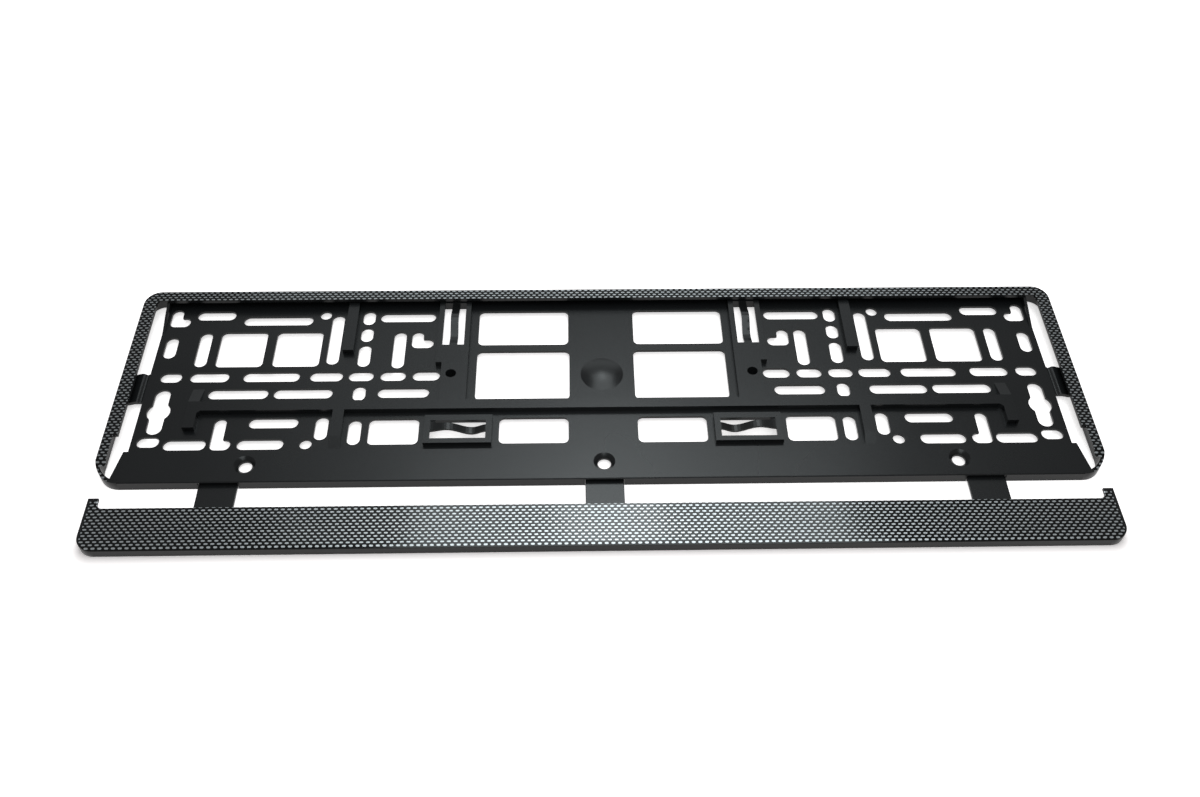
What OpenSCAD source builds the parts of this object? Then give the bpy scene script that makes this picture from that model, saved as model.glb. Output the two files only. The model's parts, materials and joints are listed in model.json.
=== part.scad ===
// Number plate holder for one long car plate: a perforated base with a raised rim on three
// sides, and the clip-on cover strip that closes its bottom edge, laid flat in front of it.
// Millimetres, +Z up, origin at the middle of the bottom of the whole layout.

/* [Rim] */
// Width over the side rims
body_w = 533; // [531:0.5:536]
// Depth from the bottom wall to the top rim
body_d = 135; // [134:0.5:138]
// Height of the rim above the ground
rim_h = 11.5; // [11:0.1:13]
// Thickness of the rim's outer wall
wall_t = 1.8; // [1.4:0.1:2.2]
// Width of the rim's lip over the plate
lip_w = 7.8; // [7:0.1:8.4]
// Width of the side lip where the strip's ears reach
narrow_lip_w = 5.5; // [4.8:0.1:6]
// Height up the side where the lip steps out to its full width
narrow_to = 28; // [24:0.5:32]
// Thickness of the lip
lip_t = 2; // [1.6:0.1:2.2]
// Radius of the top corners
top_corner_r = 9.5; // [9:0.1:12]
// Radius of the bottom corners
bottom_corner_r = 12; // [10:0.5:14]
// Edge break along the rim's outer edge
rim_edge = 0.5; // [0.2:0.1:0.8]

/* [Web] */
// Height of the web's face above the ground
web_top = 5; // [4.6:0.1:5.2]
// Thickness of the web, ribs and panels
skin_t = 1.6; // [1.3:0.1:1.8]
// Open gap between the web and the side rim
side_gap = 11.2; // [10:0.1:12]
// Width of the fixing slots
slot_w = 7.1; // [6:0.1:7.4]
// Size of the plain round holes
pilot_d = 6.6; // [5:0.1:7]
// Size of the keyhole's round middle
keyhole_d = 12.8; // [12:0.1:13.4]
// Corner radius of the large windows
window_r = 3; // [1.5:0.1:4]

/* [Ribs and springs] */
// Height of the ribs that carry the plate, above the web
rib_rise = 3.5; // [3:0.1:3.8]
// Width of the long ribs
rib_w = 6.5; // [6:0.1:7]
// Width of the lower spring ribbons
low_ribbon_w = 4.4; // [4:0.1:5]
// Width of the upper spring ribbons
high_ribbon_w = 4.5; // [3.5:0.1:5.5]
// Thickness of the spring ribbons
ribbon_t = 1.2; // [1:0.1:1.4]
// Height of the spring crests above the web
crest_rise = 4.6; // [4:0.1:4.8]
// Radius of the round boss in the middle
dome_r = 12; // [10:0.5:14]
// Rise of the round boss
dome_rise = 2.2; // [1:0.1:3]

// Bore of the blind sockets in the panels
socket_d = 6; // [4:0.1:6.6]

/* [Flange] */
// Height of the bottom flange's face
flange_top = 6; // [5.6:0.1:6.4]
// Depth of the bottom flange
flange_d = 20.6; // [20:0.1:21]
// Screw hole through the flange
screw_d = 7.2; // [5:0.1:7.6]
// Countersink at the flange's face
sink_d = 11.6; // [11:0.1:13]
// Depth of the bosses round the screw holes
boss_h = 3.6; // [3:0.1:4.5]

/* [Strip] */
// How far the strip's ends stand past the side rims
strip_over = 0.15; // [0:0.05:0.5]
// Depth of the strip's face
strip_d = 25.6; // [24:0.1:28]
// Height of the strip
strip_h = 5.8; // [5:0.1:6]
// Thickness of the strip's face
face_t = 1.6; // [1.4:0.1:2]
// Gap between the base and the strip as laid out
laid_gap = 15.6; // [14:0.1:20]
// Radius of the strip's front corners
strip_corner_r = 9; // [6:0.5:12]
// Reach of the ears past the strip's edge
ear_reach = 6.4; // [5:0.1:8]
// Width of the slope along the strip's front edge
bevel_w = 2; // [1:0.1:2.5]
// Drop of the slope along the strip's front edge
bevel_drop = 0.8; // [0.4:0.1:1.2]
// Width of the snap tongues
tongue_w = 20.4; // [16:0.1:22]
// Reach of the snap tongues into the base's recesses
tongue_reach = 2.2; // [1:0.1:3]
// Height of the snap tongues' upper face
tongue_top = 3; // [2.6:0.1:3.4]
// Thickness of the snap tongues
tongue_t = 1.6; // [1.2:0.1:2]
// Play of a tongue in its recess, each side
tongue_play = 0.3; // [0.2:0.1:0.8]

/* [Hidden] */
$fn = 48;
e = 0.01;
// Layout positions are drawn for a 533 by 135 base and follow its real width and depth
ux = body_w / 533;
uy = body_d / 135;
web_z = web_top - skin_t;
rib_top = web_top + rib_rise;
web_x = body_w / 2 - wall_t - side_gap;
lip_z = rim_h - lip_t;
strip_front = laid_gap + strip_d;
mid_y = (body_d - strip_front) / 2;
strip_l = body_w + 2 * strip_over;
ear_w = narrow_lip_w;
over = flange_top;
screw_x = 190 * ux;
screw_y = 0.553 * flange_d;
tongue_x = 202.5 * ux;
rib_y = 46.5 * uy;
bar_x = 141.2 * ux;
end_bar_x = 221 * ux;
bar_w = 0.95 * rib_w;
panel_x = 75.6 * ux;
panel_w = 14.8 * ux;
window_y = 93.7 * uy;
window_end = 126.6 * uy;
window_x = 78.6 * ux;
window_w = 12.4 * ux;
low_x = 63.7 * ux;
low_w = 30 * ux;
low_y = 25.9 * uy;
low_d = 12.3 * uy;
bar_end = 34.8 * uy;
upper_bar_end = 90.2 * uy;
frame_edge = 3.3 * ux;
top_y = body_d - wall_t / 2;
// Fixing slots of one half that lie along the length: middle x, middle y, length
FLAT_SLOTS = [
    [224.5, 121, 22.3], [112.5, 118.6, 32.3], [187.9, 116.6, 40.2],
    [98.9, 73.3, 15.3], [117.5, 73.3, 14.3], [135.4, 73.3, 14], [154.8, 73.3, 18.4],
    [185.5, 73.3, 31.6], [220, 73.3, 21.8], [241.4, 73.3, 12],
    [110.7, 60.9, 28.6], [166.2, 60.9, 32.6], [202, 60.9, 33.2],
    [179.3, 40.1, 26.8], [184.4, 25.5, 25], [224.7, 25.5, 22.8], [244.5, 27.6, 12]];
// Fixing slots of one half that stand across it: middle x, middle y, length
CROSS_SLOTS = [
    [135.2, 118.4, 10.9], [135.2, 105.1, 11], [135.2, 88.8, 16.7], [135.2, 60.7, 10.6],
    [134.9, 33.2, 17.2], [246.2, 95.9, 16], [153, 101.6, 38.5], [153, 36.2, 16],
    [227.4, 94.4, 26.3], [115.8, 93.2, 28.2]];
// Windows of one half: inner x, outer x, low y, high y
WINDOWS = [
    [18.9, 70.8, 96.2, 123], [18.3, 70.9, 55.1, 91.3], [18.9, 56.7, 24.6, 42.3],
    [100.2, 127.4, 24.6, 42.3], [160.4, 186.8, 80.9, 107.8], [192.2, 218.8, 80.9, 107.8]];
// Angled openings of one half: inner x, outer x, low y, high y
ANGLES = [[238.9, 250.7, 112.3, 125.8], [96.4, 109, 94.4, 107.3], [200.2, 211.3, 21.8, 43.4]];
PILOTS = [[160.8, 120.8], [160.1, 25.4]];

// One shape on both sides of the middle
module both() {
    children();
    mirror([1, 0, 0]) children();
}

// Rounded rectangle between two corners
module rounded(x0, x1, y0, y1, r) {
    translate([x0 + r, y0]) square([x1 - x0 - 2 * r, y1 - y0]);
    translate([x0, y0 + r]) square([x1 - x0, y1 - y0 - 2 * r]);
    for (x = [x0 + r, x1 - r], y = [y0 + r, y1 - r]) translate([x, y]) circle(r = r);
}

// Slot with round ends, along x
module slot(len, w) {
    translate([-(len - w) / 2, -w / 2]) square([len - w, w]);
    for (s = [-1, 1]) translate([s * (len - w) / 2, 0]) circle(d = w);
}

// Block between two x, two y and two z values
module block(x0, x1, y0, y1, z0, z1) {
    translate([x0, y0, z0]) cube([x1 - x0, y1 - y0, z1 - z0]);
}

// Side view in y and z, drawn out along x
module along_x(x0, x1, points) {
    translate([x0, 0, 0]) rotate([90, 0, 90]) linear_extrude(x1 - x0) polygon(points);
}

// End view in x and z, drawn out along y
module along_y(y0, y1, points) {
    translate([0, y1, 0]) rotate([90, 0, 0]) linear_extrude(y1 - y0) polygon(points);
}

// Plan of the whole base, drawn in by a margin
module plan(margin) {
    w = body_w / 2 - margin;
    rt = top_corner_r - margin;
    rb = bottom_corner_r - margin;
    difference() {
        translate([-w, margin]) square([2 * w, body_d - 2 * margin]);
        both() {
            translate([w - rt, body_d - margin - rt]) square(rt + 1);
            translate([w - rb, margin - 1]) square([rb + 1, rb + 1]);
        }
    }
    both() {
        translate([w - rt, body_d - margin - rt]) circle(r = rt);
        translate([w - rb, margin + rb]) circle(r = rb);
    }
}

// Wall and lip of the rim, measured inward from the outer face
function rim_points(lip) = [
    [0, 0], [wall_t, 0], [wall_t, lip_z], [lip, lip_z], [lip, rim_h], [rim_edge, rim_h],
    [0, rim_h - rim_edge]];

// Quarter turn of the rim about a corner's centre
module rim_corner(r, lip) {
    rotate_extrude(angle = 90) polygon([for (p = rim_points(lip)) [r - p[0], p[1]]]);
}

// Raised rim: top and both sides, running down to the flange at the bottom corners
module rim() {
    side_x = body_w / 2;
    difference() {
        union() {
            along_x(-side_x + top_corner_r, side_x - top_corner_r,
                    [for (p = rim_points(lip_w)) [body_d - p[0], p[1]]]);
            both() {
                translate([side_x - top_corner_r, body_d - top_corner_r, 0])
                    rim_corner(top_corner_r, lip_w);
                along_y(narrow_to, body_d - top_corner_r,
                        [for (p = rim_points(lip_w)) [side_x - p[0], p[1]]]);
                along_y(bottom_corner_r, narrow_to,
                        [for (p = rim_points(narrow_lip_w)) [side_x - p[0], p[1]]]);
                translate([side_x - bottom_corner_r, bottom_corner_r, 0])
                    rotate([0, 0, -90]) rim_corner(bottom_corner_r, bottom_corner_r);
            }
        }
        both() block(side_x - bottom_corner_r - wall_t, side_x - narrow_lip_w, 0,
                     bottom_corner_r + e, lip_z - e, rim_h + over);
        // The strip's ends drop over this slope
        along_x(-side_x - over, side_x + over, [[-over, flange_top], [wall_t / 2, flange_top],
                [bottom_corner_r + wall_t / 2, rim_h], [bottom_corner_r, rim_h + over],
                [-over, rim_h + over]]);
    }
}

// Flat floor of the holder, with the gaps beside the side rims
module web_plate() {
    translate([0, 0, web_z]) linear_extrude(skin_t) difference() {
        intersection() {
            plan(wall_t / 2);
            translate([-body_w, flange_d - skin_t]) square([2 * body_w, body_d]);
        }
        both() translate([web_x, flange_d - 2 * skin_t])
            square([side_gap + wall_t, body_d - wall_t - flange_d + 2 * skin_t]);
    }
}

// Bottom wall and flange that the cover strip clips to
module flange() {
    x0 = body_w / 2 - bottom_corner_r;
    difference() {
        union() {
            block(-x0, x0, 0, wall_t, 0, flange_top);
            translate([0, 0, flange_top - skin_t]) linear_extrude(skin_t) both()
                polygon([[0, flange_d], [web_x + 0.18 * side_gap, flange_d],
                         [web_x + 0.47 * side_gap, 1.4 * wall_t],
                         [web_x + 0.22 * side_gap, wall_t / 4], [0, wall_t / 4]]);
            block(-web_x, web_x, flange_d - skin_t, flange_d, web_z, flange_top);
            for (x = [-screw_x, 0, screw_x])
                translate([x, screw_y, flange_top - boss_h]) cylinder(d = 1.25 * sink_d, h = boss_h);
        }
        for (x = [-screw_x, 0, screw_x]) translate([x, screw_y, 0]) {
            cylinder(d = screw_d, h = 2 * flange_top);
            translate([0, 0, flange_top - (sink_d - screw_d) / 2])
                cylinder(d1 = screw_d, d2 = 2 * sink_d - screw_d, h = sink_d - screw_d);
        }
        for (x = [-tongue_x, 0, tongue_x])
            block(x - tongue_w / 2 - tongue_play, x + tongue_w / 2 + tongue_play,
                  -wall_t, tongue_reach + 0.78 * wall_t, -wall_t, flange_top - 0.6 * skin_t);
        // Edge break along the wall's upper edge
        along_x(-body_w, body_w, [[-over, flange_top - rim_edge - over],
                [rim_edge + over, flange_top + over], [-over, flange_top + over]]);
    }
}

// Pressed-up rib: a hollow ridge of the web's own thickness
module ridge(x0, x1, y0, y1) {
    block(x0, x1, y0, y1, web_z, rib_top);
}

// Room under a pressed-up rib
module ridge_room(x0, x1, y0, y1) {
    block(x0 + skin_t, x1 - skin_t, y0 + skin_t, y1 - skin_t, 0, rib_top - skin_t);
}

// Ribs, panels and frames of one half, as solid blocks or as the room beneath them
module ridges(room) {
    for (b = [
        [-2 * skin_t, end_bar_x + bar_w, rib_y, rib_y + rib_w],
        [end_bar_x, end_bar_x + bar_w, bar_end, rib_y + rib_w],
        [bar_x, bar_x + bar_w, 28 * uy, rib_y + rib_w],
        [bar_x, bar_x + bar_w, upper_bar_end, top_y],
        [panel_x, panel_x + panel_w, rib_y, top_y],
        [panel_x, window_x + window_w + skin_t + 1.4 * ux, 80.5 * uy, top_y],
        [low_x - frame_edge, low_x + low_w + frame_edge, 22.8 * uy, 42 * uy]])
        if (room) ridge_room(b[0], b[1], b[2], b[3]);
        else ridge(b[0], b[1], b[2], b[3]);
}

// Small recesses in the square ends of two bars of one half
module bar_mouths() {
    for (b = [[end_bar_x, bar_end], [bar_x, upper_bar_end]])
        block(b[0] + 0.2 * bar_w, b[0] + 0.8 * bar_w, b[1] - e, b[1] + 0.6 * skin_t,
              web_top, rib_top - skin_t);
}

// Sloping ends of the two upright bars of one half, and the filled corner beside the outer one
module ramps() {
    along_x(end_bar_x, end_bar_x + bar_w, [[rib_y + rib_w - e, web_z],
            [rib_y + rib_w - e, rib_top], [64.5 * uy, web_top], [64.5 * uy, web_z]]);
    along_x(bar_x, bar_x + bar_w, [[22 * uy, web_z], [22 * uy, web_top],
            [28 * uy + e, rib_top], [28 * uy + e, web_z]]);
    translate([end_bar_x, rib_y, web_z]) linear_extrude(rib_top - web_z)
        polygon([[-skin_t, skin_t / 4], [skin_t / 4, skin_t / 4], [skin_t / 4, -skin_t], [0, -skin_t],
                 [-skin_t, 0]]);
}

// Height of a ribbon's face at a place along it, through its turning points
function ease(t) = (1 - cos(180 * t)) / 2;
function leg(a, b, n) = [for (i = [0:n - 1]) [a[0] + (b[0] - a[0]) * i / n,
                                             a[1] + (b[1] - a[1]) * ease(i / n)]];
function ribbon_line(turns) = concat(leg(turns[0], turns[1], 6), leg(turns[1], turns[2], 8),
                                     leg(turns[2], turns[3], 8), [turns[3]]);

// Side view of a wavy spring ribbon: from under the panel's skin at the window's edge, through
// a dip and a crest, to the wall or skin beyond the other edge
module ribbon_view(start, dip, crest, finish, finish_z) {
    line = ribbon_line([[start - skin_t / 2, rib_top - skin_t / 3], [dip, web_top + 0.3 * skin_t],
                        [crest, web_top + crest_rise], [finish, finish_z]]);
    n = len(line);
    polygon(concat(line, [for (i = [n - 1:-1:0]) line[i] - [0, ribbon_t]]));
}

// Lower spring, along the length, widened at its outer root to the window's far edge
module low_spring() {
    near = low_y + (low_d - low_ribbon_w) / 2 + 0.9 * skin_t;
    far = low_y + low_d + skin_t / 4;
    finish = low_x + low_w + skin_t / 2;
    intersection() {
        translate([0, far, 0]) rotate([90, 0, 0]) linear_extrude(far - near)
            ribbon_view(low_x, low_x + 0.25 * low_w, low_x + 0.7 * low_w, finish,
                        rib_top - skin_t / 3);
        linear_extrude(2 * rim_h)
            polygon([[low_x - 2 * skin_t, near - 1], [finish + 1, near - 1], [finish + 1, far + 1],
                     [low_x + 0.96 * low_w, far + 1], [low_x + 0.9 * low_w, near + low_ribbon_w + skin_t / 2],
                     [low_x + 0.78 * low_w, near + low_ribbon_w],
                     [low_x - 2 * skin_t, near + low_ribbon_w]]);
    }
}

// Upper spring, across the length
module high_spring() {
    span = window_end - window_y;
    translate([window_x + (window_w - high_ribbon_w) / 2, 0, 0]) rotate([90, 0, 90])
        linear_extrude(high_ribbon_w)
            ribbon_view(window_y, window_y + 0.27 * span, window_y + 0.62 * span,
                        window_end + skin_t / 2, web_top + skin_t / 2);
    // Drop wall that carries its far end
    block(window_x - skin_t / 2, window_x + window_w + skin_t / 2, window_end,
          window_end + skin_t, web_z, rib_top - e);
}

// Bridge with a groove and a low bead that ties the web to the side rim half way up
module side_clip() {
    x = web_x;
    g = side_gap;
    t = skin_t;
    groove = [x + 0.09 * g, web_top - 0.4 * t];
    bead = [x + 0.3 * g, web_top + 0.35 * t];
    foot = [x + 0.8 * g, web_top - 0.35 * t];
    along_y(55.5 * uy, 76 * uy, concat([[x - t / 3, web_z], [x - t / 3, web_top]],
            leg([x + 0.02 * g, web_top], groove, 3), leg(groove, bead, 7), leg(bead, foot, 10),
            [foot, [x + g + t / 3, web_top - 0.35 * t], [x + g + t / 3, web_top - 1.6 * t],
             [x + 0.7 * g, web_top - 1.6 * t], [x + 0.4 * g, web_z], [x + 0.2 * g, web_z]]));
}

// Gusset between the web's edge and the top rim
module corner_gusset() {
    along_x(web_x - skin_t, web_x, [[107 * uy, web_z], [107 * uy, web_top],
            [body_d - lip_w, lip_z + skin_t / 4], [top_y, lip_z + skin_t / 4], [top_y, web_z]]);
}

// Opening with a foot towards the middle and an upright on the outer side
module angle_opening(a) {
    translate([(a[0] + a[1]) * ux / 2, a[2] * uy + slot_w / 2]) slot((a[1] - a[0]) * ux, slot_w);
    translate([a[1] * ux - 0.47 * slot_w, (a[2] + a[3]) * uy / 2]) rotate(90)
        slot((a[3] - a[2]) * uy, 0.94 * slot_w);
}

// All through openings of one half of the web
module web_openings() {
    for (s = FLAT_SLOTS) translate([s[0] * ux, s[1] * uy]) slot(s[2] * ux, slot_w);
    for (s = CROSS_SLOTS) translate([s[0] * ux, s[1] * uy]) rotate(90) slot(s[2] * uy, slot_w);
    for (w = WINDOWS) rounded(w[0] * ux, w[1] * ux, w[2] * uy, w[3] * uy, window_r);
    for (a = ANGLES) angle_opening(a);
    for (p = PILOTS) translate([p[0] * ux, p[1] * uy]) circle(d = pilot_d);
    // Keyhole
    translate([243.3 * ux, 48.7 * uy]) {
        rotate(90) slot(31.7 * uy, 0.66 * keyhole_d);
        circle(d = keyhole_d);
    }
}

// Round boss in the middle, a shallow cap
module dome(room) {
    r = (dome_r * dome_r + dome_rise * dome_rise) / (2 * dome_rise);
    t = room ? skin_t : 0;
    translate([0, 73.5 * uy, 0]) intersection() {
        translate([0, 0, web_top + dome_rise - r]) sphere(r = r - t);
        translate([0, 0, room ? 0 : web_z]) cylinder(r = dome_r - t, h = rim_h);
    }
}

// Bore of one blind socket
module socket_bore() {
    translate([window_x + window_w / 2, 72 * uy, skin_t]) cylinder(d = socket_d, h = rim_h);
}

// Base moulding
module base_frame() {
    color("#232527") translate([0, -mid_y, 0]) {
        difference() {
            union() {
                rim();
                web_plate();
                flange();
                both() {
                    ridges(false);
                    ramps();
                    side_clip();
                    corner_gusset();
                }
                dome(false);
            }
            both() {
                ridges(true);
                linear_extrude(web_top + skin_t) web_openings();
                // Windows over the springs
                block(low_x, low_x + low_w, low_y, low_y + low_d, web_z, rim_h);
                block(window_x, window_x + window_w, window_y, window_end, web_z, rib_top + e);
                bar_mouths();
                socket_bore();
            }
            dome(true);
        }
        both() {
            low_spring();
            high_spring();
            // Blind socket in the panel, reaching down to the ground
            difference() {
                translate([window_x + window_w / 2, 72 * uy, 0])
                    cylinder(d = socket_d + 2 * skin_t, h = rib_top - skin_t / 2);
                socket_bore();
            }
        }
    }
}

// Plan of the strip's outer shape, up to a given line
module strip_plan(margin, top) {
    w = strip_l / 2 - margin;
    r = strip_corner_r - margin;
    y = -strip_front + margin;
    translate([-w, y + r]) square([2 * w, top - y - r]);
    translate([-w + r, y]) square([2 * (w - r), 2 * r]);
    both() translate([w - r, y + r]) circle(r = r);
}

// Cover strip: face with ears, walls on three sides and three snap tongues
module cover_strip() {
    ear_top = -laid_gap + ear_reach;
    ear_x = strip_l / 2 - ear_w;
    ear_r = 0.55 * ear_w;
    root = -laid_gap - 3 * face_t;
    color("#4a4f52") translate([0, -mid_y, 0]) difference() {
        union() {
            translate([0, 0, strip_h - face_t]) linear_extrude(face_t) {
                strip_plan(0, -laid_gap);
                both() {
                    translate([ear_x, -laid_gap - face_t]) square([ear_w, ear_reach + face_t]);
                    difference() {
                        translate([ear_x - ear_r, -laid_gap - face_t])
                            square([ear_r + e, ear_r + face_t]);
                        translate([ear_x - ear_r, -laid_gap + ear_r]) circle(r = ear_r);
                    }
                }
            }
            linear_extrude(strip_h - face_t / 2) difference() {
                strip_plan(0, ear_top);
                strip_plan(wall_t, ear_top + wall_t);
            }
            for (x = [-tongue_x, 0, tongue_x]) {
                block(x - tongue_w / 2, x + tongue_w / 2, root, tongue_reach,
                      tongue_top - tongue_t, tongue_top);
                block(x - tongue_w / 2, x + tongue_w / 2, root, root + 2 * face_t,
                      tongue_top - tongue_t / 2, strip_h - face_t / 2);
            }
        }
        // Sloped front edge
        along_x(-strip_l, strip_l, [[-strip_front - 2 * bevel_w, strip_h - 3 * bevel_drop],
                [-strip_front + bevel_w, strip_h], [-strip_front + bevel_w, 2 * strip_h],
                [-strip_front - 2 * bevel_w, 2 * strip_h]]);
    }
}

base_frame();
cover_strip();
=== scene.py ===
"""Looks for the number plate holder: a perforated base moulding and its printed cover strip."""

import json
import logging
import math
from dataclasses import dataclass, field
from enum import Enum

import bmesh
import bpy
from mathutils import Matrix, Vector

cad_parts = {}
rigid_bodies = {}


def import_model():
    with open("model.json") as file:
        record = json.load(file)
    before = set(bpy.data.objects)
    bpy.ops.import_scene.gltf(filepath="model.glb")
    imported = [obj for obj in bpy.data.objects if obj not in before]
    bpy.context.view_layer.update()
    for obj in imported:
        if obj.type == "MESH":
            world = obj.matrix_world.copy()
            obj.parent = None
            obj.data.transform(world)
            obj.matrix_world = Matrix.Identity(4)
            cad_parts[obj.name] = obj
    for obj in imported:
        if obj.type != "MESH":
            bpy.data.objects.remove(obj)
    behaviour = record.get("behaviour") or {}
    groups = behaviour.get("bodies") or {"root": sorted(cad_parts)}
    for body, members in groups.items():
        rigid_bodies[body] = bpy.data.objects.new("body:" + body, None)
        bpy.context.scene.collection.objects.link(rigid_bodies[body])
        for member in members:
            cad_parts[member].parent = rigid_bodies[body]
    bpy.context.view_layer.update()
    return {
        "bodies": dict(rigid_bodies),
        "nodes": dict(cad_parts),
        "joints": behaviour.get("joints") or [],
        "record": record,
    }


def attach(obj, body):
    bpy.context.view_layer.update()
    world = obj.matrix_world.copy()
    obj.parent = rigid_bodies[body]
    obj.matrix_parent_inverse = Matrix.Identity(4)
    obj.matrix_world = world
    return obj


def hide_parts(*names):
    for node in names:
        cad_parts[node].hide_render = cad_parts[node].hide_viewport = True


LOG = logging.getLogger("plate_holder")
MM = 0.001
Triple = tuple[float, float, float]


class Surface(Enum):
    """Which faces of a moulding carry the printed film."""

    RIM = "rim"
    STRIP = "strip"


@dataclass(frozen=True)
class BlackPlastic:
    """Satin black moulded plastic.

    Attributes:
        roughness_swing: How far the roughness changes from place to place.
        strip_specular: Specular level of the strip, whose print lies under a clear coat.
        grain_depth: Height of the fine grain in millimetres.
        broad_scale: Scale of the slow changes in roughness.
    """

    colour: Triple = (0.0085, 0.009, 0.0096)
    roughness: float = 0.26
    roughness_swing: float = 0.1
    specular: float = 0.4
    strip_specular: float = 0.44
    grain_scale: float = 2600.0
    grain_detail: float = 3.0
    grain_strength: float = 0.05
    grain_depth: float = 0.2
    broad_scale: float = 14.0
    broad_detail: float = 2.0


@dataclass(frozen=True)
class WeaveFilm:
    """Printed weave under a clear coat: rows of pale dashes on a dark ground, in millimetres.

    Attributes:
        dash_power: Power of the superellipse that a dash follows.
        fade_outside: Where the dash has faded out, with 1 on its outline.
        fade_inside: Where the dash is full.
        border: Width left bare at the strip's ends and ear tips.
        facing: Least upward part of a printed face's normal.
        strip_wrap: How far the film wraps down over the strip's edge.
        rim_wrap: How far the film wraps down over the rim's edge.
        rim_reach: Width of the sides where the film also covers the rim's front slope.
        slope_reach: Where that slope ends, from the base's bottom wall.
        slope_foot: Height above the ground at which the film on the slope starts.
    """

    ground: Triple = (0.0015, 0.0018, 0.002)
    dash: Triple = (0.56, 0.585, 0.6)
    rim_dash: Triple = (0.44, 0.46, 0.47)
    dash_metal: float = 0.9
    ground_roughness: float = 0.11
    dash_roughness: float = 0.34
    pitch_x: float = 3.38
    pitch_y: float = 1.865
    dash_x: float = 2.0
    dash_y: float = 0.94
    dash_power: float = 3.0
    fade_outside: float = 1.25
    fade_inside: float = 0.7
    border: float = 1.5
    facing: float = 0.3
    strip_wrap: float = 1.1
    rim_wrap: float = 1.0
    rim_reach: float = 7.0
    slope_reach: float = 13.0
    slope_foot: float = 6.2


@dataclass(frozen=True)
class HolderSizes:
    """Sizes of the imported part, in millimetres."""

    width: float = 533.0
    depth: float = 135.0
    rim_height: float = 11.5
    strip_front: float = 41.2
    strip_height: float = 5.8
    strip_length: float = 533.3
    ear_tip: float = -9.2

    @property
    def middle_y(self) -> float:
        """Distance from the base's bottom wall to the middle of the whole layout."""
        return (self.depth - self.strip_front) / 2


@dataclass(frozen=True)
class EdgeWork:
    """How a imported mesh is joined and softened: lengths in millimetres, angles in degrees.

    Attributes:
        weld: Distance at which two corners of triangles become one.
        flat: Angle up to which neighbouring triangles become one face.
        sharp: Angle from which an edge is rounded.
    """

    weld: float = 0.005
    flat: float = 0.6
    sharp: float = 28.0
    segments: int = 2


@dataclass(frozen=True)
class GroundLook:
    """How bright the white ground is, and where its glow is taken away round the layout, so that the real
    shadow shows there together with painted shade, in millimetres.

    Attributes:
        reach: Half of the ground's width in metres.
        seen: Its colour to the camera.
        lighting: Its colour to the light that it sends back to the object.
        seen_glow: Added light to the camera, everywhere.
        seen_open_glow: Added light to the camera on open ground, taken away where shade is painted.
        mirrored_glow: Added light in reflections, everywhere.
        mirrored_open_glow: Added light in reflections of open ground, taken away where shade is painted.
        corner: Corner radius of the layout's outline.
        shade_width: Width of the border in which the glow fades, so that painted shade adds to the real
            shadow.
        side_shade: Strength of the painted shade beside and behind the layout, where the front has 1.
        front_reach: Depth over which the strength grows to the front's.
        cover_from: Distance inside the outline up to which painted shade keeps the ground dark.
        cover_to: Distance inside the outline from which it glows again.
        flange_depth: Depth of the painted shade band under the flange, from the bottom wall.
        flange_inset: Distance of that band from the layout's ends.
        gap_reach: Distance from the bottom wall within which the gap to the strip stays free of the
            painted shade inside the outline.
    """

    reach: float = 6.0
    seen: Triple = (1.31, 1.2, 1.18)
    lighting: Triple = (0.46, 0.42, 0.41)
    seen_glow: float = 0.08
    seen_open_glow: float = 0.75
    mirrored_glow: float = 0.38
    mirrored_open_glow: float = 0.2
    corner: float = 9.0
    shade_width: float = 20.0
    side_shade: float = 0.3
    front_reach: float = 28.0
    cover_from: float = 1.0
    cover_to: float = 3.0
    flange_depth: float = 6.0
    flange_inset: float = 16.0
    gap_reach: float = 14.0


@dataclass(frozen=True)
class Viewpoint:
    """The photograph's camera: its place in the part's millimetres, its turns in radians and its lens."""

    at: Triple = (-15.81, -371.33, 516.25)
    yaw: float = 0.0337
    pitch: float = 0.8749
    roll: float = 0.0172
    lens: float = 36.0
    sensor: float = 36.0


@dataclass(frozen=True)
class Lamp:
    """One soft rectangular lamp, in metres.

    Attributes:
        at: Where it hangs.
        aim: The point that it faces.
        size: Its width and height.
        glow: How bright its face looks, where white paper in plain light is 1.
    """

    name: str
    at: Triple
    aim: Triple
    size: tuple[float, float]
    glow: float
    colour: Triple = (0.9, 0.98, 1.0)

    def hang(self) -> None:
        """Adds the lamp to the scene, hidden from the camera itself."""
        data = bpy.data.lights.new(self.name, "AREA")
        data.shape = "RECTANGLE"
        data.size, data.size_y = self.size
        data.energy = self.glow * math.pi * self.size[0] * self.size[1]
        data.color = self.colour
        lamp = bpy.data.objects.new(self.name, data)
        bpy.context.scene.collection.objects.link(lamp)
        lamp.location = self.at
        lamp.rotation_euler = (Vector(self.aim) - Vector(self.at)).to_track_quat("-Z", "Y").to_euler()
        lamp.visible_camera = False


LAMPS = (
    Lamp("overhead softbox", (0.07, -0.22, 1.05), (0.07, -0.22, 0.0), (0.68, 2.0), 2.3),
    Lamp("softbox core", (0.04, 0.65, 1.04), (0.04, 0.65, 0.0), (0.16, 0.42), 2.8),
    Lamp("back panel", (0.0, 1.3, 1.1), (0.0, 0.0, 0.5), (1.3, 1.6), 0.4),
    Lamp("low back panel", (0.0, 2.1, 0.95), (0.0, 0.0, 0.1), (2.6, 0.8), 0.24),
)


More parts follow.
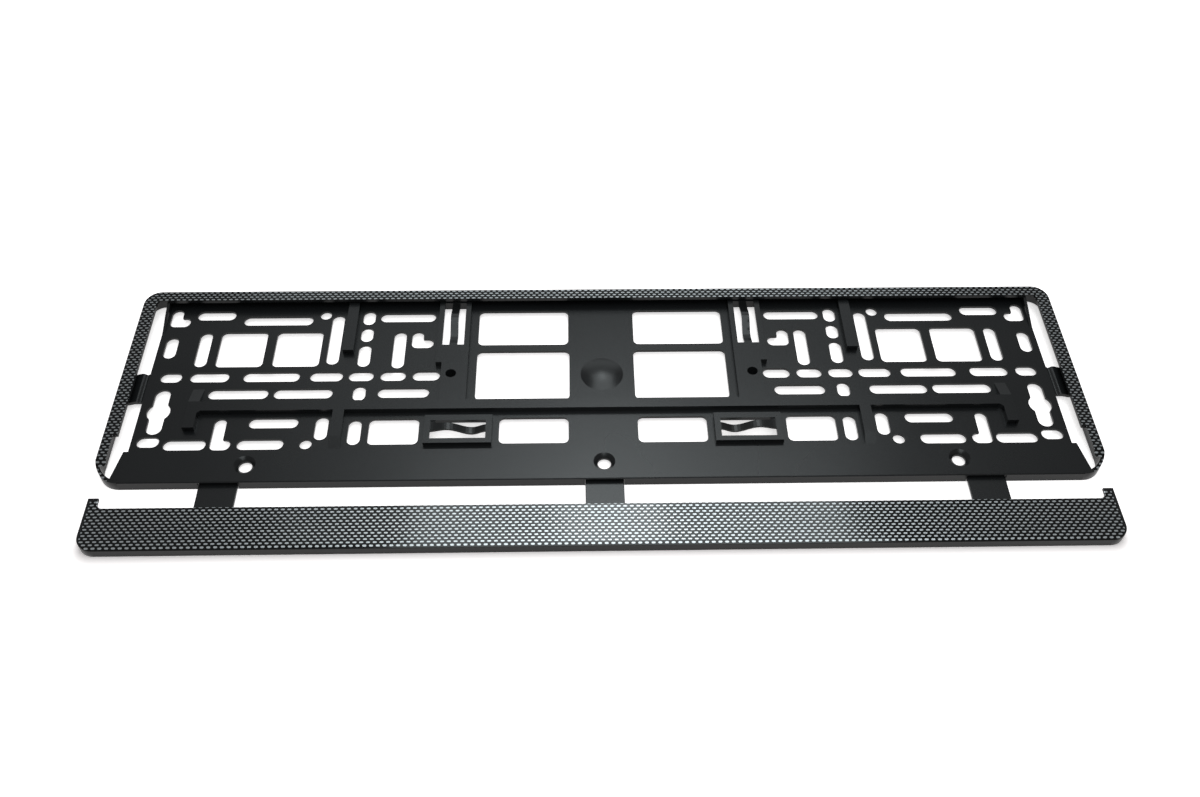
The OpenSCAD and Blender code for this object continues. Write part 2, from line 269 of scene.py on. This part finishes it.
class NodeTree:
    """Short way to add and wire shader nodes in one tree."""

    def __init__(self, tree: bpy.types.NodeTree) -> None:
        """Keeps the node tree to build in."""
        self.tree = tree

    def add(self, kind: str, **settings: object) -> bpy.types.Node:
        """Adds one node.

        Args:
            kind: The node's type name.
            settings: Properties to set on it.

        Returns:
            The new node.
        """
        node = self.tree.nodes.new(kind)
        for name, value in settings.items():
            setattr(node, name, value)
        return node

    def feed(self, socket: bpy.types.NodeSocket, value: object) -> None:
        """Links a socket or sets a plain value.

        Args:
            socket: The input socket.
            value: An output socket, a number or a tuple.
        """
        if isinstance(value, bpy.types.NodeSocket):
            self.tree.links.new(value, socket)
        else:
            socket.default_value = value

    def fill(self, node: bpy.types.Node, values: dict[str, object]) -> None:
        """Feeds several inputs of a node, each by its name."""
        for name, value in values.items():
            self.feed(node.inputs[name], value)

    def math(self, operation: str, *values: object) -> bpy.types.NodeSocket:
        """Adds a Math node.

        Args:
            operation: The operation's name.
            values: Numbers or sockets for its inputs.

        Returns:
            The output socket.
        """
        node = self.add("ShaderNodeMath", operation=operation)
        for socket, value in zip(node.inputs, values):
            self.feed(socket, value)
        return node.outputs[0]

    def product(self, *values: object) -> bpy.types.NodeSocket:
        """Multiplies numbers and sockets in turn.

        Args:
            values: Two or more numbers or sockets.

        Returns:
            The output socket.
        """
        result, *others = values
        for value in others:
            result = self.math("MULTIPLY", result, value)
        return result

    def remainder(self, value: object) -> bpy.types.NodeSocket:
        """Takes a value from 1."""
        return self.math("SUBTRACT", 1.0, value)

    def step(self, value: bpy.types.NodeSocket, low: float, high: float) -> bpy.types.NodeSocket:
        """Adds a soft step from 0 at low to 1 at high.

        Args:
            value: The socket to read.
            low: Where the step starts, which may be above its end.
            high: Where it ends.

        Returns:
            The output socket.
        """
        node = self.add("ShaderNodeMapRange", interpolation_type="SMOOTHSTEP")
        self.fill(node, {"Value": value, "From Min": low, "From Max": high, "To Min": 0.0, "To Max": 1.0})
        return node.outputs[0]

    def mix(self, factor: object, first: object, second: object) -> bpy.types.NodeSocket:
        """Mixes two colours.

        Args:
            factor: Share of the second colour.
            first: The first colour.
            second: The second colour.

        Returns:
            The mixed colour.
        """
        node = self.add("ShaderNodeMix", data_type="RGBA")
        self.feed(node.inputs["Factor"], factor)
        for name, value in (("A", first), ("B", second)):
            socket = next(s for s in node.inputs if s.name == name and s.type == "RGBA")
            self.feed(socket, value if isinstance(value, bpy.types.NodeSocket) else (*value, 1.0))
        return next(s for s in node.outputs if s.type == "RGBA")

    def place(self) -> bpy.types.NodeSocket:
        """Gives the place on the object, in metres."""
        return self.add("ShaderNodeTexCoord").outputs["Object"]

    def axes(self, vector: bpy.types.NodeSocket) -> tuple[bpy.types.NodeSocket, ...]:
        """Splits a vector.

        Args:
            vector: The socket to split.

        Returns:
            Its x, y and z.
        """
        node = self.add("ShaderNodeSeparateXYZ")
        self.feed(node.inputs[0], vector)
        return tuple(node.outputs)


def fresh_tree(owner: bpy.types.Material | bpy.types.World) -> NodeTree:
    """Empties the nodes of a material or world.

    Args:
        owner: What the nodes belong to.

    Returns:
        Its empty tree.
    """
    owner.use_nodes = True
    owner.node_tree.nodes.clear()
    return NodeTree(owner.node_tree)


def new_group(name: str, inputs: tuple[str, ...],
              outputs: tuple[str, ...]) -> tuple[NodeTree, bpy.types.Node, bpy.types.Node]:
    """Starts a shader node group with a Vector input and named numbers.

    Args:
        name: The group's name.
        inputs: Names of its other inputs.
        outputs: Names of its outputs.

    Returns:
        The group's tree, its input node and its output node.
    """
    tree = bpy.data.node_groups.new(name, "ShaderNodeTree")
    tree.interface.new_socket("Vector", in_out="INPUT", socket_type="NodeSocketVector")
    for labels, in_out in ((inputs, "INPUT"), (outputs, "OUTPUT")):
        for label in labels:
            tree.interface.new_socket(label, in_out=in_out, socket_type="NodeSocketFloat")
    return NodeTree(tree), tree.nodes.new("NodeGroupInput"), tree.nodes.new("NodeGroupOutput")


class Effects:
    """Shader node groups that the finishes share."""

    def __init__(self, plastic: BlackPlastic, film: WeaveFilm) -> None:
        """Builds each group once."""
        self.weave = self.make_weave(film)
        self.grain = self.make_grain(plastic)

    @staticmethod
    def make_weave(film: WeaveFilm) -> bpy.types.NodeTree:
        """Builds the weave print: a mask of rounded dashes in staggered rows.

        Args:
            film: The film whose dashes it draws.

        Returns:
            The group's tree.
        """
        net, given, out = new_group("weave print", ("Pitch X", "Pitch Y", "Dash X", "Dash Y"), ("Mask",))
        x, y = (net.product(axis, 1.0 / MM) for axis in net.axes(given.outputs["Vector"])[:2])
        row = net.math("DIVIDE", y, given.outputs["Pitch Y"])
        # Every second row is shifted by half a pitch
        shift = net.product(net.math("FLOORED_MODULO", net.math("FLOOR", row), 2.0), 0.5)
        column = net.math("ADD", net.math("DIVIDE", x, given.outputs["Pitch X"]), shift)
        # Distance from a dash's middle as a superellipse, with 1 on its outline
        reach = 0.0
        for axis, cell in (("X", column), ("Y", row)):
            off_middle = net.math("ABSOLUTE", net.math("SUBTRACT", net.math("FRACT", cell), 0.5))
            share = net.math("DIVIDE", net.product(off_middle, given.outputs[f"Pitch {axis}"]),
                             net.product(given.outputs[f"Dash {axis}"], 0.5))
            reach = net.math("ADD", reach, net.math("POWER", share, film.dash_power))
        net.feed(out.inputs["Mask"], net.step(reach, film.fade_outside, film.fade_inside))
        return net.tree

    @staticmethod
    def make_grain(plastic: BlackPlastic) -> bpy.types.NodeTree:
        """Builds the moulded surface's grain: fine height and broad changes of sheen.

        Args:
            plastic: The plastic whose grain it draws.

        Returns:
            The group's tree.
        """
        net, given, out = new_group("moulded grain", ("Scale",), ("Height", "Broad"))
        for label, scale, detail in (("Height", given.outputs["Scale"], plastic.grain_detail),
                                     ("Broad", plastic.broad_scale, plastic.broad_detail)):
            noise = net.add("ShaderNodeTexNoise")
            net.fill(noise, {"Vector": given.outputs["Vector"], "Scale": scale, "Detail": detail})
            net.feed(out.inputs[label], noise.outputs[0])
        return net.tree


@dataclass
class Materials:
    """The holder's finishes, made from the shared effects."""

    sizes: HolderSizes
    plastic: BlackPlastic = field(default_factory=BlackPlastic)
    film: WeaveFilm = field(default_factory=WeaveFilm)

    def __post_init__(self) -> None:
        """Builds the shared effects."""
        self.effects = Effects(self.plastic, self.film)

    def film_mask(self, net: NodeTree, where: Surface) -> bpy.types.NodeSocket:
        """Tells printed faces from bare plastic by their height and which way they face.

        Args:
            net: The material's tree.
            where: Which faces carry the film.

        Returns:
            A mask of 1 where the film lies.
        """
        x, y, z = net.axes(net.place())
        across = net.math("ABSOLUTE", x)
        upward = net.axes(net.add("ShaderNodeNewGeometry").outputs["Normal"])[2]
        faces_up = net.math("GREATER_THAN", upward, self.film.facing)
        if where is Surface.STRIP:
            face = net.math("GREATER_THAN", z, (self.sizes.strip_height - self.film.strip_wrap) * MM)
            inside = net.math("LESS_THAN", across, (self.sizes.strip_length / 2 - self.film.border) * MM)
            ear_tip = (self.sizes.ear_tip - self.film.border - self.sizes.middle_y) * MM
            return net.product(face, inside, net.math("LESS_THAN", y, ear_tip), faces_up)
        top = net.math("GREATER_THAN", z, (self.sizes.rim_height - self.film.rim_wrap) * MM)
        side = net.math("GREATER_THAN", across, (self.sizes.width / 2 - self.film.rim_reach) * MM)
        low = net.math("LESS_THAN", y, (self.film.slope_reach - self.sizes.middle_y) * MM)
        slope = net.product(side, low, net.math("GREATER_THAN", z, self.film.slope_foot * MM))
        return net.product(net.math("MAXIMUM", top, slope), faces_up)

    def roughness(self, net: NodeTree, mask: bpy.types.NodeSocket, dashes: bpy.types.NodeSocket,
                  broad: bpy.types.NodeSocket) -> bpy.types.NodeSocket:
        """Mixes the roughness of bare plastic, dark film and dashes.

        Args:
            net: The material's tree.
            mask: 1 where the film lies.
            dashes: 1 on a dash.
            broad: Slow changes over the plastic.

        Returns:
            The roughness.
        """
        swing = self.plastic.roughness_swing
        bare = net.math("ADD", self.plastic.roughness - swing / 2, net.product(broad, swing))
        dark = self.film.ground_roughness
        film = net.math("ADD", dark, net.product(dashes, self.film.dash_roughness - dark))
        return net.math("ADD", net.product(film, mask), net.product(bare, net.remainder(mask)))

    def make(self, name: str, where: Surface) -> bpy.types.Material:
        """Makes one moulding's material: black plastic with printed film on its visible faces.

        Args:
            name: The material's name.
            where: Which faces carry the film.

        Returns:
            The material.
        """
        material = bpy.data.materials.new(name)
        net = fresh_tree(material)
        on_strip = where is Surface.STRIP
        mask = self.film_mask(net, where)
        weave = net.add("ShaderNodeGroup", node_tree=self.effects.weave)
        net.fill(weave, {"Vector": net.place(), "Pitch X": self.film.pitch_x, "Pitch Y": self.film.pitch_y,
                         "Dash X": self.film.dash_x, "Dash Y": self.film.dash_y})
        dashes = weave.outputs["Mask"]
        grain = net.add("ShaderNodeGroup", node_tree=self.effects.grain)
        net.fill(grain, {"Vector": net.place(), "Scale": self.plastic.grain_scale})
        printed = net.mix(dashes, self.film.ground, self.film.dash if on_strip else self.film.rim_dash)
        bump = net.add("ShaderNodeBump")
        net.fill(bump, {"Strength": self.plastic.grain_strength, "Distance": self.plastic.grain_depth * MM,
                        "Height": net.product(grain.outputs["Height"], net.remainder(mask))})
        shader = net.add("ShaderNodeBsdfPrincipled")
        net.fill(shader, {
            "Base Color": net.mix(mask, self.plastic.colour, printed),
            "Metallic": net.product(mask, dashes, self.film.dash_metal),
            "Roughness": self.roughness(net, mask, dashes, grain.outputs["Broad"]),
            "Specular IOR Level": self.plastic.strip_specular if on_strip else self.plastic.specular,
            "Normal": bump.outputs[0],
        })
        net.feed(net.add("ShaderNodeOutputMaterial").inputs["Surface"], shader.outputs[0])
        return material


def softened_copy(node: bpy.types.Object, name: str, radius: float,
                  material: bpy.types.Material, work: EdgeWork = EdgeWork()) -> bpy.types.Object:
    """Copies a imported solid, joins its triangles and rounds its sharp edges as a mould does.

    Args:
        node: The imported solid.
        name: The new piece's name.
        radius: Width of the rounding in millimetres.
        material: The finish.
        work: How the mesh is joined and softened.

    Returns:
        The new piece, which stands for the solid.
    """
    bm = bmesh.new()
    bm.from_mesh(node.data)
    bmesh.ops.remove_doubles(bm, verts=bm.verts, dist=work.weld * MM)
    bmesh.ops.dissolve_limit(bm, angle_limit=math.radians(work.flat), verts=bm.verts, edges=bm.edges)
    sharp = [edge for edge in bm.edges
             if len(edge.link_faces) == 2 and edge.calc_face_angle(0.0) > math.radians(work.sharp)]
    bmesh.ops.bevel(bm, geom=sharp, offset=radius * MM, offset_type="OFFSET", segments=work.segments,
                    profile=0.5, affect="EDGES", clamp_overlap=True, material=-1)
    mesh = bpy.data.meshes.new(name)
    bm.to_mesh(mesh)
    bm.free()
    mesh.materials.append(material)
    piece = bpy.data.objects.new(name, mesh)
    bpy.context.scene.collection.objects.link(piece)
    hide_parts(node.name)
    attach(piece, "root")
    return piece


@dataclass
class BaseMoulding:
    """The perforated base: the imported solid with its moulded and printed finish."""

    materials: Materials
    edge_radius: float = 0.15

    def build(self, frame: dict) -> bpy.types.Object:
        return softened_copy(frame["nodes"]["base_frame"], "base_moulding", self.edge_radius,
                             self.materials.make("base black", Surface.RIM))


@dataclass
class StripMoulding:
    """The cover strip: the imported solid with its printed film."""

    materials: Materials
    edge_radius: float = 0.25

    def build(self, frame: dict) -> bpy.types.Object:
        return softened_copy(frame["nodes"]["cover_strip"], "strip_moulding", self.edge_radius,
                             self.materials.make("strip film", Surface.STRIP))


@dataclass
class Ground:
    """The white ground that the holder lies on."""

    sizes: HolderSizes
    look: GroundLook = field(default_factory=GroundLook)

    def past_outline(self, net: NodeTree, x: bpy.types.NodeSocket,
                     y: bpy.types.NodeSocket) -> bpy.types.NodeSocket:
        """Measures how far a place lies outside the layout's rounded outline.

        Args:
            net: The ground material's tree.
            x: Place across, in millimetres.
            y: Place in depth, in millimetres.

        Returns:
            The distance in millimetres, below 0 inside the outline.
        """
        over_x = net.math("SUBTRACT", net.math("ABSOLUTE", x), self.half_x - self.look.corner)
        over_y = net.math("SUBTRACT", net.math("ABSOLUTE", y), self.half_y - self.look.corner)
        far_x, far_y = (net.math("MAXIMUM", value, 0.0) for value in (over_x, over_y))
        squares = net.math("ADD", net.product(far_x, far_x), net.product(far_y, far_y))
        within = net.math("MINIMUM", net.math("MAXIMUM", over_x, over_y), 0.0)
        return net.math("SUBTRACT", net.math("ADD", net.math("SQRT", squares), within), self.look.corner)

    @property
    def half_x(self) -> float:
        """Half of the layout's width in millimetres."""
        return self.sizes.strip_length / 2

    @property
    def half_y(self) -> float:
        """Half of the layout's depth in millimetres."""
        return (self.sizes.depth + self.sizes.strip_front) / 2

    def free_of_painted_shade(self, net: NodeTree) -> bpy.types.NodeSocket:
        """Tells open ground from the places where its glow is taken away, so that the object's own shadow
        shows there, deepened by painted shade.

        Args:
            net: The ground material's tree.

        Returns:
            A value of 1 on open ground and inside the layout, which falls to 0 towards its outline, just
            inside the outline and under the flange, where shade is painted.
        """
        look = self.look
        x, y = (net.product(axis, 1.0 / MM) for axis in net.axes(net.place())[:2])
        outside = self.past_outline(net, x, y)
        wall = net.math("ADD", y, self.sizes.middle_y)
        # Painted shade, darkest at the outline and fading over the border's width, full in front and
        # weaker beside and behind
        shade = net.remainder(net.step(outside, 0.0, look.shade_width))
        frontness = net.step(y, look.front_reach - self.half_y, -self.half_y)
        strength = net.math("ADD", look.side_shade, net.product(frontness, 1.0 - look.side_shade))
        border = net.product(shade, strength)
        # Painted shade in a thin band just inside the outline, left out in the gap between base and strip
        painted_edge_shade = net.product(net.math("LESS_THAN", outside, 0.0),
                              net.remainder(net.step(outside, -look.cover_from, -look.cover_to)),
                              net.math("GREATER_THAN", net.math("ABSOLUTE", wall), look.gap_reach))
        # Painted shade in a band under the base's flange
        painted_flange_shade = net.product(net.math("GREATER_THAN", wall, 0.0),
                                   net.math("LESS_THAN", wall, look.flange_depth),
                                   net.math("LESS_THAN", outside, -look.flange_inset))
        return net.product(*(net.remainder(dark) for dark in (border, painted_edge_shade, painted_flange_shade)))

    def material(self) -> bpy.types.Material:
        """Makes the ground's white, which is brighter to the camera than to the object, with its glow
        lowered where shade is painted.

        Returns:
            The material.
        """
        look = self.look
        material = bpy.data.materials.new("ground white")
        net = fresh_tree(material)
        path = net.add("ShaderNodeLightPath")
        seen = path.outputs["Is Camera Ray"]
        mirrored = net.math("MAXIMUM", path.outputs["Is Glossy Ray"], path.outputs["Is Transmission Ray"])
        # Share of the glow left where no shade is painted round the layout
        unshaded_share = self.free_of_painted_shade(net)
        direct = net.math("ADD", look.seen_glow, net.product(unshaded_share, look.seen_open_glow))
        reflected = net.math("ADD", look.mirrored_glow, net.product(unshaded_share, look.mirrored_open_glow))
        matt = net.add("ShaderNodeBsdfDiffuse")
        net.feed(matt.inputs["Color"], net.mix(seen, look.lighting, look.seen))
        glow = net.add("ShaderNodeEmission")
        net.fill(glow, {"Color": (1.0, 1.0, 1.0, 1.0),
                        "Strength": net.math("ADD", net.product(seen, direct),
                                             net.product(mirrored, reflected))})
        both = net.add("ShaderNodeAddShader")
        net.feed(both.inputs[0], matt.outputs[0])
        net.feed(both.inputs[1], glow.outputs[0])
        net.feed(net.add("ShaderNodeOutputMaterial").inputs["Surface"], both.outputs[0])
        return material

    def build(self) -> None:
        """Lays the ground under the holder."""
        mesh = bpy.data.meshes.new("ground")
        bm = bmesh.new()
        bmesh.ops.create_grid(bm, x_segments=1, y_segments=1, size=self.look.reach)
        bm.to_mesh(mesh)
        bm.free()
        mesh.materials.append(self.material())
        ground = bpy.data.objects.new("ground", mesh)
        bpy.context.scene.collection.objects.link(ground)


@dataclass
class Studio:
    """White ground, soft light and the photograph's camera."""

    sizes: HolderSizes
    view: Viewpoint = field(default_factory=Viewpoint)
    fill: float = 0.22

    def camera(self) -> None:
        """Places the camera as solved from the photograph."""
        view = self.view
        data = bpy.data.cameras.new("view")
        data.sensor_width = view.sensor
        data.lens = view.lens
        camera = bpy.data.objects.new("view", data)
        bpy.context.scene.collection.objects.link(camera)
        forward = Vector((math.sin(view.yaw) * math.cos(view.pitch),
                          math.cos(view.yaw) * math.cos(view.pitch), -math.sin(view.pitch)))
        level = Vector((math.cos(view.yaw), -math.sin(view.yaw), 0.0))
        above = level.cross(forward)
        right = level * math.cos(view.roll) + above * math.sin(view.roll)
        up = above * math.cos(view.roll) - level * math.sin(view.roll)
        turn = Matrix((right, up, -forward)).transposed().to_4x4()
        x, y, z = view.at
        camera.matrix_world = Matrix.Translation(Vector((x, y - self.sizes.middle_y, z)) * MM) @ turn
        bpy.context.scene.camera = camera

    def world(self) -> None:
        """Fills the surroundings with an even grey that the camera sees as white."""
        world = bpy.data.worlds.new("studio")
        bpy.context.scene.world = world
        net = fresh_tree(world)
        seen = net.add("ShaderNodeLightPath").outputs["Is Camera Ray"]
        back = net.add("ShaderNodeBackground")
        net.fill(back, {"Color": (1.0, 1.0, 1.0, 1.0),
                        "Strength": net.math("ADD", seen, net.product(net.remainder(seen), self.fill))})
        net.feed(net.add("ShaderNodeOutputWorld").inputs["Surface"], back.outputs[0])

    def build(self) -> None:
        """Sets the camera, ground and lights."""
        bpy.context.scene.view_settings.view_transform = "Standard"
        self.camera()
        Ground(self.sizes).build()
        self.world()
        for lamp in LAMPS:
            lamp.hang()


def main() -> None:
    """Builds the holder's looks and the studio round it."""
    logging.basicConfig(level=logging.INFO)
    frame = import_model()
    sizes = HolderSizes()
    materials = Materials(sizes)
    for part in (BaseMoulding(materials), StripMoulding(materials)):
        piece = part.build(frame)
        LOG.info("%s: %d faces", piece.name, len(piece.data.polygons))
    Studio(sizes).build()


if __name__ == "__main__":
    main()
